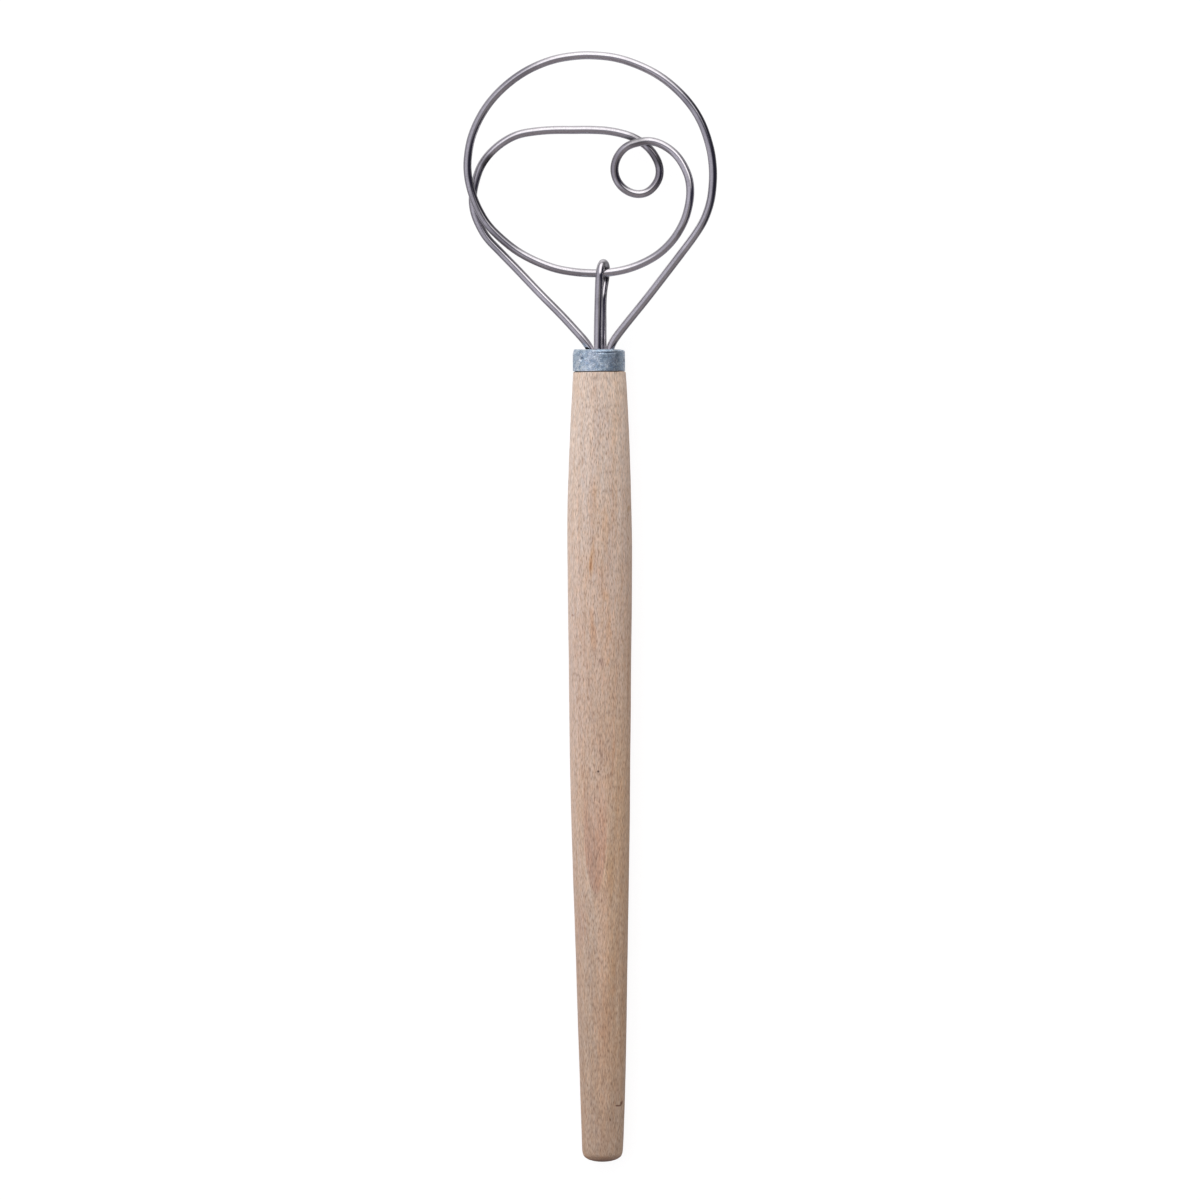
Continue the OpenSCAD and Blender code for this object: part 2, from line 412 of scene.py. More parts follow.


# Brighter and darker stretches of the wires: centre and half size in design
# millimetres, lean, softness, and what the steel's colour is multiplied by.
# Some are tarnish; most are painted near reflections and painted shade.
TARNISH_AND_PAINTED_REFLECTIONS = [
    ((17, 18), (18, 18), 0.0, 0.2, g(1.15)),
    ((3, 4), (6, 7), 0.0, 0.2, g(1.12)),
    ((31.5, 37.5), (5.5, 10), 0.0, 0.3, g(1.27)),
    ((-20.5, 21), (9, 10), 0.0, 0.2, g(1.17)),
    ((-5.2, 3.2), (2.6, 2.6), 0.0, 0.3, g(0.78)),
    ((-2.9, 0.2), (1.9, 1.9), 0.0, 0.3, g(1.25)),
    ((43, 60), (5.5, 24), 0.0, 0.3, (0.62, 0.62, 0.65)),
    ((38.3, 79.5), (5, 17), -0.3, 0.4, (0.60, 0.60, 0.63)),
    ((34.3, 85.3), (5, 9), -0.9, 0.4, (0.60, 0.60, 0.62)),
    ((36, 95), (17, 15), 0.0, 0.3, (0.72, 0.72, 0.75)),
    ((-30, 97), (12, 9), 0.0, 0.3, (0.76, 0.76, 0.78)),
    ((-31, 40), (11, 9.5), 0.0, 0.3, (0.57, 0.57, 0.59)),
    ((-38.7, 46.8, 3.2), (3, 6.5, 3.4), -0.6, 0.3, g(0.6)),
    ((-41.8, 60, 3.2), (3.6, 15, 3.4), 0.0, 0.4, g(0.68)),
    ((-36.8, 63.8), (3.6, 4.6), 0.0, 0.3, g(0.35)),
    ((6.5, 63), (4, 8), 0.0, 0.3, (0.68, 0.66, 0.67)),
    ((20.5, 58.2), (4.2, 7), 0.0, 0.3, (0.63, 0.61, 0.63)),
    ((19.3, 66.4), (2.2, 5.5), -0.55, 0.3, (0.38, 0.37, 0.38)),
    ((12.6, 71.6), (5.5, 3.4), 0.0, 0.3, g(0.55)),
    ((28, 64), (6, 9), 0.0, 0.2, g(1.15)),
    ((0, 102), (18, 4), 0.0, 0.2, g(1.1)),
    ((-10, 25.5), (14, 3), 0.0, 0.3, g(0.86)),
    ((2.6, 24.1), (1.5, 1.0), 0.0, 0.4, g(0.28)),
    ((2.7, 28.0), (1.4, 0.65), 0.0, 0.3, g(0.35)),
    ((-42.2, 54, -2.6), (2.4, 9, 3.0), 0.0, 0.3, g(1.45)),
    ((-35.0, 70.2), (1.6, 9), 1.0, 0.3, g(1.22)),
    ((28.7, 40.5), (1.0, 5.5), 0.57, 0.2, g(0.55)),
    ((21.2, 64.9), (1.0, 3.6), -0.41, 0.2, g(0.5)),
    ((-37.7, 64.9), (1.0, 3.6), 0.74, 0.2, g(0.6)),
    ((0.6, 16.8), (2.2, 3.0), 0.0, 0.3, g(0.84)),
    ((31.3, 52.5), (2.5, 6), 0.0, 0.3, g(1.2)),
    ((17.2, 54.2), (2.5, 2.2), 0.0, 0.3, g(0.84)),
    ((16, 70.4), (4.5, 1.3), 0.0, 0.3, g(0.75)),
    ((1.2, 2.4), (1.2, 2.2), 0.0, 0.3, g(0.6)),
]
# small painted highlights and painted shade on the hook, with settled places
HOOK_PAINTED_LIGHT = [
    ((2.0, 18.4), (0.9, 1.1), 0.0, 0.3, g(0.55)),
    ((1.9, 21.6), (0.8, 1.9), 0.0, 0.3, g(1.2)),
    ((1.35, 11.8), (0.55, 3.8), 0.0, 0.3, g(1.4)),
]


def wire_material():
    m, nt, b = new_material("drawn_steel")
    # UV is in millimetres: U round the wire, V along it
    draw = noise_tex(nt, coords(nt, (2.4, 0.035, 1), "UV"), 2.2, 4, 0.6)
    marks = noise_tex(nt, coords(nt, (0.16, 2.6, 1), "UV"), 1.3, 3, 0.6)
    hatch = noise_tex(nt, coords(nt, (0.9, 4.5, 1), "UV"), 1.0, 2, 0.5)
    blotch = noise_tex(nt, coords(nt, (130, 130, 130)), 1.0, 4, 0.6)
    # dull grey specks, a few tenths of a millimetre across
    speck = noise_tex(nt, coords(nt, (1900, 1900, 1900)), 1.0, 3, 0.6)
    col = ramp(nt, blotch, [(0.3, (0.62, 0.605, 0.63)), (0.55, (0.68, 0.665, 0.69)), (0.75, (0.72, 0.705, 0.725))])
    col = mix(nt, 0.5, col, ramp(nt, draw, [(0.3, g(0.80)), (0.5, g(0.97)), (0.72, g(1.02))]), "MULTIPLY")
    col = mix(nt, 0.5, col, ramp(nt, marks, [(0.30, g(0.86)), (0.42, g(1.0)), (0.62, g(1.0)), (0.74, g(0.88))]), "MULTIPLY")
    col = mix(nt, 0.5, col, ramp(nt, hatch, [(0.30, g(0.84)), (0.5, g(1.0)), (0.70, g(1.10))]), "MULTIPLY")
    col = mix(nt, 0.6, col, ramp(nt, speck, [(0.30, (0.74, 0.72, 0.74)), (0.48, g(1.0)), (0.70, g(1.12))]), "MULTIPLY")
    loose = warped(nt, coords(nt, (1000, 1000, 1000)), (0.12, 0.12, 0.12), (3.5, 3.5, 0))
    # painted reflections and painted shade along the wires, with some tarnish, and painted highlights and shade on the
    # hook
    for group, vec in ((TARNISH_AND_PAINTED_REFLECTIONS, loose), (HOOK_PAINTED_LIGHT, coords(nt, (1000, 1000, 1000)))):
        for centre, half, lean, soft, tint in group:
            col = mix(nt, blob(nt, vec, centre, half, lean, soft, 1.0), col, tint, "MULTIPLY")
    nt.links.new(col, b.inputs["Base Color"])
    b.inputs["Metallic"].default_value = 1.0
    nt.links.new(ramp(nt, draw, [(0.3, g(0.13)), (0.7, g(0.08))]), b.inputs["Roughness"])
    nrm = bump(nt, draw, 0.15, 0.00004)
    nrm = bump(nt, hatch, 0.09, 0.00005, nrm)
    nrm = bump(nt, speck, 0.07, 0.00004, nrm)
    nrm = bump(nt, marks, 0.08, 0.00008, nrm)
    nt.links.new(nrm, b.inputs["Normal"])
    return m


def zinc_material():
    m, nt, b = new_material("zinc_steel")
    obj = coords(nt, (1000, 1000, 1000))  # millimetres
    # small curled scales of zinc, a millimetre or so across
    bent = warped(nt, obj, (0.9, 0.9, 0.9), (1.6, 1.6, 1.6))
    vor = nt.nodes.new("ShaderNodeTexVoronoi")
    vor.inputs["Scale"].default_value = 0.85
    nt.links.new(bent, vor.inputs["Vector"])
    cell = separate(nt, vor.outputs["Color"])[0]
    edge = nt.nodes.new("ShaderNodeTexVoronoi")
    edge.feature = "DISTANCE_TO_EDGE"
    edge.inputs["Scale"].default_value = 0.85
    nt.links.new(bent, edge.inputs["Vector"])
    rim = edge.outputs["Distance"]
    col = ramp(nt, cell, [(0.0, (0.38, 0.49, 0.59)), (0.5, (0.49, 0.585, 0.67)), (1.0, (0.58, 0.655, 0.73))])
    soft = noise_tex(nt, coords(nt, (700, 700, 700)), 1.0, 4, 0.62)
    col = mix(nt, 1.0, col, ramp(nt, soft, [(0.30, (0.64, 0.70, 0.78)), (0.5, g(0.97)), (0.70, (1.22, 1.2, 1.17))]), "MULTIPLY")
    salt = noise_tex(nt, coords(nt, (3000, 3000, 3000)), 1.0, 2, 0.6)
    col = mix(nt, 1.0, col, ramp(nt, salt, [(0.30, g(0.62)), (0.5, g(1.0)), (0.7, g(1.38))]), "MULTIPLY")
    col = mix(nt, 1.0, col, ramp(nt, rim, [(0.0, (0.76, 0.81, 0.88)), (0.10, g(1.0))]), "MULTIPLY")
    glint = noise_tex(nt, coords(nt, (1300, 1300, 1300), loc=(4, 2, 9)), 1.0, 1, 0.5)
    col = mix(nt, smooth_step(nt, glint, 0.60, 0.70), col, (1.35, 1.4, 1.4), "MULTIPLY")
    # painted sheen: the zinc is made paler on both sides, where the light grazes it, and a little duller on top
    x = separate(nt, obj)[0]
    col = mix(nt, smooth_step(nt, x, SHIFT[0] - 1.0, SHIFT[0] - 6.5), col, (1.42, 1.40, 1.36), "MULTIPLY")
    col = mix(nt, math_node(nt, "MULTIPLY", smooth_step(nt, x, SHIFT[0] - 0.5, SHIFT[0] + 2.5), smooth_step(nt, x, SHIFT[0] + 5.5, SHIFT[0] + 4.5)), col, (1.12, 1.14, 1.16), "MULTIPLY")
    col = mix(nt, smooth_step(nt, x, SHIFT[0] + 6.0, SHIFT[0] + 7.8), col, (1.40, 1.38, 1.40), "MULTIPLY")
    # painted shade in the crease under the lip, along a fainter line just below it, and round the dimple
    warm = warped(nt, obj, (0.7, 0.7, 0.7), (0.6, 0.4, 0.5))
    crease = blob(nt, warm, (3.2, RIM_Y - 0.89), (2.7, 0.27), -0.03, 0.2, 1.0)
    faint = blob(nt, warm, (-1.2, RIM_Y - 0.98), (7.6, 0.20), -0.02, 0.2, 1.0)
    pit = blob(nt, obj, (-5.9, RIM_Y - 2.65), (0.65, 0.5), 0.0, 0.2, 1.0)
    col = mix(nt, math_node(nt, "MULTIPLY", crease, 0.9), col, (0.16, 0.21, 0.28), "MULTIPLY")
    col = mix(nt, math_node(nt, "MULTIPLY", faint, 0.55), col, (0.42, 0.47, 0.56), "MULTIPLY")
    col = mix(nt, math_node(nt, "MULTIPLY", pit, 0.8), col, (0.25, 0.31, 0.38), "MULTIPLY")
    nt.links.new(col, b.inputs["Base Color"])
    b.inputs["Metallic"].default_value = 0.8
    nt.links.new(ramp(nt, cell, [(0, g(0.30)), (1, g(0.44))]), b.inputs["Roughness"])
    n1 = bump(nt, cell, 0.18, 0.00006)
    n1 = bump(nt, ramp(nt, rim, [(0.0, g(0.0)), (0.12, g(1.0))]), 0.22, 0.00008, n1)
    n1 = bump(nt, soft, 0.4, 0.00018, n1)
    nt.links.new(bump(nt, salt, 0.35, 0.00005, n1), b.inputs["Normal"])
    return m


# Natural marks on the beech's upper side, and last some broad bands of painted light and shade: centre, half width and
# half length in design millimetres, lean, softness, and the colour that the wood is multiplied by.
MARKS_AND_PAINTED_LIGHT = [
    ((-2.8, -71.5), (1.2, 9.5), 0.08, 0.2, (0.93, 0.76, 0.56)),
    ((-1.4, -53.5), (2.8, 12), 0.0, 0.1, (1.0, 0.94, 0.87)),
    ((-2.6, -96.5), (1.7, 11), -0.06, 0.2, (0.97, 0.82, 0.68)),
    ((2.0, -84.5), (1.8, 3.5), 0.0, 0.2, (1.0, 0.91, 0.80)),
    ((2.9, -94), (1.3, 11), 0.0, 0.2, (0.98, 0.88, 0.77)),
    ((1.9, -60), (1.9, 13), 0.0, 0.2, (1.0, 0.90, 0.79)),
    ((-1.7, -49), (1.0, 5.5), 0.0, 0.2, (0.97, 0.88, 0.78)),
    ((9.9, -54.6), (0.8, 2.0), 0.0, 0.3, (0.82, 0.75, 0.62)),
    ((0.3, -107.7), (1.7, 2.8), 0.0, 0.2, (0.90, 0.87, 0.88)),
    ((0.3, -107.5), (0.7, 1.3), 0.0, 0.3, (0.86, 0.82, 0.83)),
    ((2.4, -107.3), (1.0, 2.0), 0.0, 0.2, (0.97, 0.87, 0.76)),
    ((1.0, -113), (0.8, 3.5), 0.0, 0.2, (0.94, 0.91, 0.91)),
    ((4.1, -140), (0.8, 16), 0.07, 0.2, (0.93, 0.84, 0.78)),
    ((-4.8, -181), (1.2, 10), -0.17, 0.3, (1.05, 1.08, 1.10)),
    ((0.9, -182), (1.0, 8), 0.11, 0.3, (1.04, 1.06, 1.06)),
    ((-1.3, -195.5), (3.0, 9), 0.0, 0.2, (1.05, 1.08, 1.10)),
    ((-7.1, -197), (2.4, 11), 0.0, 0.3, (0.95, 0.90, 0.89)),
    ((3.1, -179), (2.4, 14), 0.0, 0.2, (0.98, 0.92, 0.82)),
    ((3.2, -205), (2.6, 32), 0.0, 0.2, (0.98, 0.93, 0.86)),
    ((5.3, -235), (0.9, 34), 0.0, 0.4, (1.07, 1.10, 1.13)),
    ((-5.3, -266), (0.7, 12), 0.0, 0.4, (1.06, 1.07, 1.09)),
    ((1.2, -238), (3.2, 34), 0.0, 0.1, (1.0, 0.95, 0.89)),
    # broad bands that stand in for the light's fall across the handle
    ((8.5, -180), (8.5, 125), 0.0, 0.1, (0.98, 0.95, 0.88)),
    ((-8.5, -170), (6, 120), 0.0, 0.2, (1.0, 1.01, 1.05)),
    ((9.6, -185), (5.5, 130), 0.03, 0.1, (0.88, 0.83, 0.80)),
    ((10.6, -75), (5.0, 110), 0.0, 0.1, (0.86, 0.80, 0.75)),
    ((0.3, -200), (3.4, 95), 0.0, 0.1, (1.12, 1.07, 1.03)),
    ((-8.9, -225), (3.0, 90), -0.025, 0.2, (0.94, 0.90, 0.88)),
]
# small dark spots and a hooked crack, with sharper edges
SPOTS = [
    ((-3.2, -74.3), (0.5, 3.6), 0.1, 0.2, (0.78, 0.64, 0.50)),
    ((-5.9, -38.4), (0.45, 1.8), 0.0, 0.2, (0.82, 0.74, 0.70)),
    ((-5.6, -43.5), (0.4, 1.4), 0.0, 0.2, (0.86, 0.78, 0.74)),
    ((-9.5, -91.1), (0.5, 0.6), 0.0, 0.4, (0.62, 0.50, 0.46)),
    ((-1.0, -144.6), (0.55, 0.6), 0.0, 0.4, (0.26, 0.21, 0.20)),
    ((2.6, -264), (0.4, 0.8), 0.0, 0.3, (0.60, 0.50, 0.45)),
    ((5.3, -259.25), (1.4, 0.45), 0.0, 0.35, (0.40, 0.28, 0.25)),
    ((6.4, -258.45), (0.5, 1.3), 0.4, 0.35, (0.38, 0.26, 0.23)),
]


def beech_material():
    m, nt, b = new_material("beech")
    obj = coords(nt, (1000, 1000, 1000))  # millimetres
    x, y, z = separate(nt, obj)[0:3]
    # growth rings: shallow cones round a pith below the handle
    wob = noise_tex(nt, coords(nt, (55, 8, 55)), 1.0, 3, 0.5)
    dx = math_node(nt, "SUBTRACT", x, 0.4)
    dz = math_node(nt, "ADD", z, 29.0)
    rad = math_node(nt, "SQRT", math_node(nt, "ADD", math_node(nt, "MULTIPLY", dx, dx), math_node(nt, "MULTIPLY", dz, dz)))
    f = math_node(nt, "ADD", rad, math_node(nt, "MULTIPLY", y, 0.0215))
    f = math_node(nt, "ADD", f, math_node(nt, "MULTIPLY", wob, 0.7))
    t = math_node(nt, "FRACT", math_node(nt, "ADD", math_node(nt, "MULTIPLY", f, 0.5), RING_PHASE))
    rings = ramp(nt, t, [(0.0, (0.95, 0.92, 0.90)), (0.12, (0.98, 0.97, 0.95)), (0.45, (1.02, 1.02, 1.02)), (0.85, (1.0, 0.99, 0.98)), (0.97, (0.96, 0.93, 0.92)), (1.0, (0.95, 0.92, 0.90))])
    col = mix(nt, 1.0, rings, (0.657, 0.532, 0.456), "MULTIPLY")
    # broad drifts from pink to tan to grey
    drift = noise_tex(nt, coords(nt, (210, 22, 210)), 1.0, 2, 0.5)
    col = mix(nt, 1.0, col, ramp(nt, drift, [(0.30, (1.0, 0.95, 0.89)), (0.5, g(1.0)), (0.70, (0.99, 1.01, 1.04))]), "MULTIPLY")
    streak = noise_tex(nt, coords(nt, (900, 20, 900)), 1.0, 4, 0.6)
    col = mix(nt, 1.0, col, ramp(nt, streak, [(0.28, (0.93, 0.90, 0.88)), (0.5, (1.0, 1.0, 1.0)), (0.72, (1.05, 1.06, 1.08))]), "MULTIPLY")
    # flecks of the rays and pores, a few tenths of a millimetre wide and 1 to 3 long
    ray = noise_tex(nt, coords(nt, (3000, 170, 3000)), 1.0, 2, 0.5)
    col = mix(nt, 1.0, col, ramp(nt, ray, [(0.30, (0.86, 0.80, 0.76)), (0.46, (0.98, 0.97, 0.96)), (0.70, (1.05, 1.05, 1.05))]), "MULTIPLY")
    fleck = noise_tex(nt, coords(nt, (4400, 620, 4400), loc=(3, 1, 7)), 1.0, 1, 0.5)
    col = mix(nt, 1.0, col, ramp(nt, fleck, [(0.28, (0.60, 0.53, 0.48)), (0.47, (1.0, 0.99, 0.98)), (0.70, (1.21, 1.22, 1.23))]), "MULTIPLY")
    hue = noise_tex(nt, coords(nt, (1500, 270, 1500), loc=(9, 4, 2)), 1.0, 2, 0.5)
    col = mix(nt, 1.0, col, ramp(nt, hue, [(0.30, (1.04, 0.98, 0.92)), (0.5, g(1.0)), (0.70, (0.97, 1.01, 1.06))]), "MULTIPLY")
    # figure, and the broad bands of painted light and shade
    front = smooth_step(nt, z, SHIFT[2] - 0.5, SHIFT[2] + 2.5)
    loose = warped(nt, obj, (0.55, 0.16, 0.55), (1.3, 4.0, 0))
    close = warped(nt, obj, (1.6, 1.0, 1.6), (0.35, 0.35, 0))
    for group, vec in ((MARKS_AND_PAINTED_LIGHT, loose), (SPOTS, close)):
        for centre, half, lean, soft, tint in group:
            k = math_node(nt, "MULTIPLY", blob(nt, vec, centre, half, lean, soft, 1.0), front)
            col = mix(nt, k, col, tint, "MULTIPLY")
    # a tongue of darker wood that ends in a point
    tongue = blob(nt, warped(nt, obj, (0.9, 0.12, 0.9), (0.9, 3.0, 0)), (-2.1, -160), (4.1, 27.3), 0.0, 0.93, 1.02)
    tongue = math_node(nt, "MULTIPLY", tongue, smooth_step(nt, y, SHIFT[1] - 142, SHIFT[1] - 172))
    col = mix(nt, math_node(nt, "MULTIPLY", tongue, front), col, (0.92, 0.82, 0.80), "MULTIPLY")
    # darker and redder towards the butt: partly the wood's tone, partly painted light falling off away from the head
    tone_and_falloff = nt.nodes.new("ShaderNodeMapRange")
    tone_and_falloff.inputs["From Min"].default_value = -190
    tone_and_falloff.inputs["From Max"].default_value = 80
    nt.links.new(y, tone_and_falloff.inputs["Value"])
    col = mix(nt, 1.0, col, ramp(nt, tone_and_falloff.outputs[0], [((p + 190) / 270, c) for p, c in TONE_AND_PAINTED_FALLOFF]), "MULTIPLY")
    # burnished rim of the butt, darkened further by painted shade at its edge, and the dark line in the cut under the
    # ferrule, which is painted shade
    burnt_and_shade = smooth_step(nt, math_node(nt, "ADD", y, math_node(nt, "MULTIPLY", wob, 1.2)), SHIFT[1] - 275.2, SHIFT[1] - 278.0)
    col = mix(nt, burnt_and_shade, col, (0.74, 0.64, 0.57), "MULTIPLY")
    # end grain is darker, and painted shade darkens it further, where the surface turns squarely towards the butt
    turned = separate(nt, coords(nt, (1, 1, 1), "Normal"))[1]
    butt = smooth_step(nt, y, SHIFT[1] - 271, SHIFT[1] - 273)
    col = mix(nt, math_node(nt, "MULTIPLY", smooth_step(nt, turned, -0.35, -0.85), butt), col, (0.80, 0.72, 0.65), "MULTIPLY")
    col = mix(nt, math_node(nt, "MULTIPLY", smooth_step(nt, turned, -0.84, -0.985), butt), col, (0.60, 0.50, 0.43), "MULTIPLY")
    # painted shade in the narrow cut between the ferrule and the wood, nearly gone at the far right
    edge_y = math_node(nt, "ADD", y, math_node(nt, "MULTIPLY", noise_tex(nt, coords(nt, (900, 900, 900), loc=(2, 5, 1)), 1.0, 2, 0.5), 0.12))
    edge_y = math_node(nt, "ADD", edge_y, math_node(nt, "MULTIPLY", smooth_step(nt, x, -1.0, -5.0), 0.07))
    groove_shade = smooth_step(nt, edge_y, SHIFT[1] + RIM_Y - 7.47 + 0.06, SHIFT[1] + RIM_Y - 7.42 + 0.06)
    cut_shade = mix(nt, smooth_step(nt, x, -6.0, 6.0), (0.11, 0.10, 0.10), (0.07, 0.065, 0.065))
    cut_shade = mix(nt, smooth_step(nt, x, SHIFT[0] + 6.0, SHIFT[0] + 7.4), cut_shade, (0.75, 0.70, 0.70))
    col = mix(nt, groove_shade, col, cut_shade, "MULTIPLY")
    nt.links.new(col, b.inputs["Base Color"])
    nt.links.new(ramp(nt, fleck, [(0.3, g(0.62)), (0.7, g(0.5))]), b.inputs["Roughness"])
    b.inputs["Diffuse Roughness"].default_value = 0.9
    b.inputs["Specular IOR Level"].default_value = 0.45
    n1 = bump(nt, fleck, 0.25, 0.00005)
    nt.links.new(bump(nt, streak, 0.15, 0.00008, n1), b.inputs["Normal"])
    return m


def adhesive_material():
    m, nt, b = new_material("set_adhesive")
    n = noise_tex(nt, coords(nt, (500, 500, 500)), 1.0, 4, 0.6)
    col = ramp(nt, n, [(0.3, srgb(96, 74, 48)), (0.7, srgb(140, 112, 74))])
    nt.links.new(col, b.inputs["Base Color"])
    b.inputs["Roughness"].default_value = 0.35
    nt.links.new(bump(nt, n, 0.4, 0.0002), b.inputs["Normal"])
    return m


# ---------------------------------------------------------------- pieces
FERRULE_R = 8.96
FERRULE_H = 7.1
LIP = 0.3  # the sheet stands this much above the level that lengths are measured from
SHEET = 0.6
HOLE_R = 6.0
# punched dimples: angle round the ferrule, distance below its top
DIMPLES = ((132, 3.3), (15, 3.5), (254, 3.3))
# how far the hand-turned handle's middle strays sideways: (distance, millimetres)
DRIFT = [(7, 0.05), (14, 0.09), (28, 0.04), (40, -0.04), (52, -0.11), (70, -0.08), (86, -0.12), (100, -0.17), (120, -0.23),
         (141, -0.33), (150, -0.3), (162, -0.24), (182, -0.19), (196, -0.13), (210, -0.06), (230, 0.0), (244, 0.03), (258, 0.0), (268, -0.03), (275, -0.12), (280, -0.12)]


def stray(d):
    for (d0, a), (d1, b) in zip(DRIFT, DRIFT[1:]):
        if d <= d1:
            t = min(1.0, max(0.0, (d - d0) / (d1 - d0)))
            return a + (b - a) * t * t * (3 - 2 * t)
    return DRIFT[-1][1]


def dimple_push(v, depth=0.6):
    """Moves a wall point inward at the three punched dimples."""
    r = math.hypot(v.x, v.z)
    if r < 6.5:
        return v
    a = math.atan2(v.z, v.x)
    push = 0.0
    for d, below in DIMPLES:
        da = (a - math.radians(d) + math.pi) % (2 * math.pi) - math.pi
        q = math.hypot(da * r, v.y + below)
        push += depth * math.exp(-(q / 0.68) ** 2.4)
        push -= 0.07 * math.exp(-((q - 1.25) / 0.35) ** 2)
    k = (r - push) / r
    return Vector((v.x * k, v.y, v.z * k))


def ferrule_piece():
    R, t = FERRULE_R, SHEET
    prof = []
    # inner wall from the bottom up, under the lip, round the hole's edge, over the lip, down the outer wall
    yb = -FERRULE_H
    T = LIP
    prof += [(R - t, yb + 0.05 + i * (FERRULE_H + T - 1.25) / 24) for i in range(25)]
    for a in range(0, 91, 15):
        prof.append((R - t - 0.45 + 0.45 * math.cos(math.radians(a)), T - t - 0.5 + 0.5 * math.sin(math.radians(a))))
    prof += [(HOLE_R + 0.35, T - t - 0.04), (HOLE_R + 0.12, T - t + 0.02)]
    for a in range(-75, 91, 15):
        prof.append((HOLE_R + 0.3 - 0.3 * math.cos(math.radians(a)), T - 0.31 + 0.3 * math.sin(math.radians(a))))
    prof += [(HOLE_R + 0.8, T - 0.01), (R - 1.4, T), (R - 1.0, T - 0.01)]
    for a in range(84, -1, -7):
        prof.append((R - 0.78 + 0.78 * math.cos(math.radians(a)), T - 0.78 + 0.77 * math.sin(math.radians(a))))
    prof += [(R, T - 0.84 - i * 0.07) for i in range(14)]
    y1 = T - 0.84 - 13 * 0.07
    prof += [(R, y1 - i * (FERRULE_H + y1 - 0.08) / 34) for i in range(1, 35)]
    prof += [(R - 0.01, yb + 0.02), (R - 0.035, yb + 0.003), (R - t + 0.06, yb), (R - t, yb + 0.05)]

    def bend(v):
        v = dimple_push(v)
        a = math.atan2(v.z, v.x)
        r = math.hypot(v.x, v.z)
        if r > R - 0.3:
            # the crease under the rolled lip, deepest on the upper side
            line = T - 1.17 + 0.09 * math.sin(3 * a + 1.1) + 0.05 * math.sin(11 * a)
            deep = 0.06 + 0.2 * math.exp(-((a - 1.2) / 0.3) ** 2) + 0.07 * max(0.0, noise.noise(Vector((math.cos(a) * 4, 0.3, math.sin(a) * 4))))
            r2 = r - deep * math.exp(-((v.y - line) / 0.15) ** 2)
            # the lip was rolled in a little further on the left
            if v.y > line:
                r2 -= 0.24 * max(0.0, -math.cos(a)) ** 3 * min(1.0, (v.y - line) / 0.3)
            # thin sheet that was rolled and pressed on: not quite round
            r2 += 0.03 * noise.noise(Vector((math.cos(a) * 1.6, v.y * 0.35, math.sin(a) * 1.6)))
            r2 += 0.014 * noise.noise(Vector((v.x * 1.1, v.y * 1.1, v.z * 1.1)))
            v = Vector((v.x * r2 / r, v.y, v.z * r2 / r))
        if v.y > T - 1.0 and r > R - 1.2:
            w = min(1.0, (v.y - T + 1.0) / 0.5)
            v = Vector((v.x, v.y + w * (0.05 * noise.noise(Vector((math.cos(a) * 3.1, 7.7, math.sin(a) * 3.1))) - 0.03 - 0.14 * math.cos(a)), v.z))
        if v.y < yb + 1.2:
            w = (yb + 1.2 - v.y) / 1.2
            v = Vector((v.x, v.y + w * (0.04 * math.sin(2 * a + 0.6) + 0.03 * math.sin(5 * a) + 0.05 * noise.noise(Vector((math.cos(a) * 5, 2.2, math.sin(a) * 5)))), v.z))
        return Vector((v.x - 0.08, v.y, v.z))
    return revolve("ferrule_shell", prof, 360, bend)


